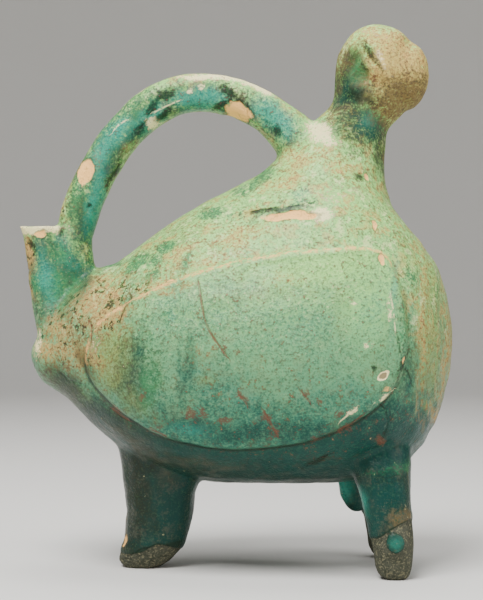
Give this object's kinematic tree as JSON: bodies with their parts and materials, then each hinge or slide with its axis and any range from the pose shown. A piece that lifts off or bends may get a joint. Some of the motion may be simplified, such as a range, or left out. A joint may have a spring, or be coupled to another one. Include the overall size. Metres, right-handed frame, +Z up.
{
  "type": "glazed ewer",
  "caption": "Bird-shaped pouring vessel of turquoise-glazed clay with a loop handle, a lipped filling cup at the tail and raised wings, standing on its legs.",
  "frame": {"origin": "on the floor, under the middle of the box that holds the whole ewer", "axes": "+X where the bird faces, +Y to the bird's left, +Z up"},
  "size_m": [0.2082, 0.1296, 0.26],
  "materials": {
    "turquoise_glaze": "worn gloss"
  },
  "bodies": {
    "root": {"ewer": "turquoise_glaze"}
  },
  "joints": []
}
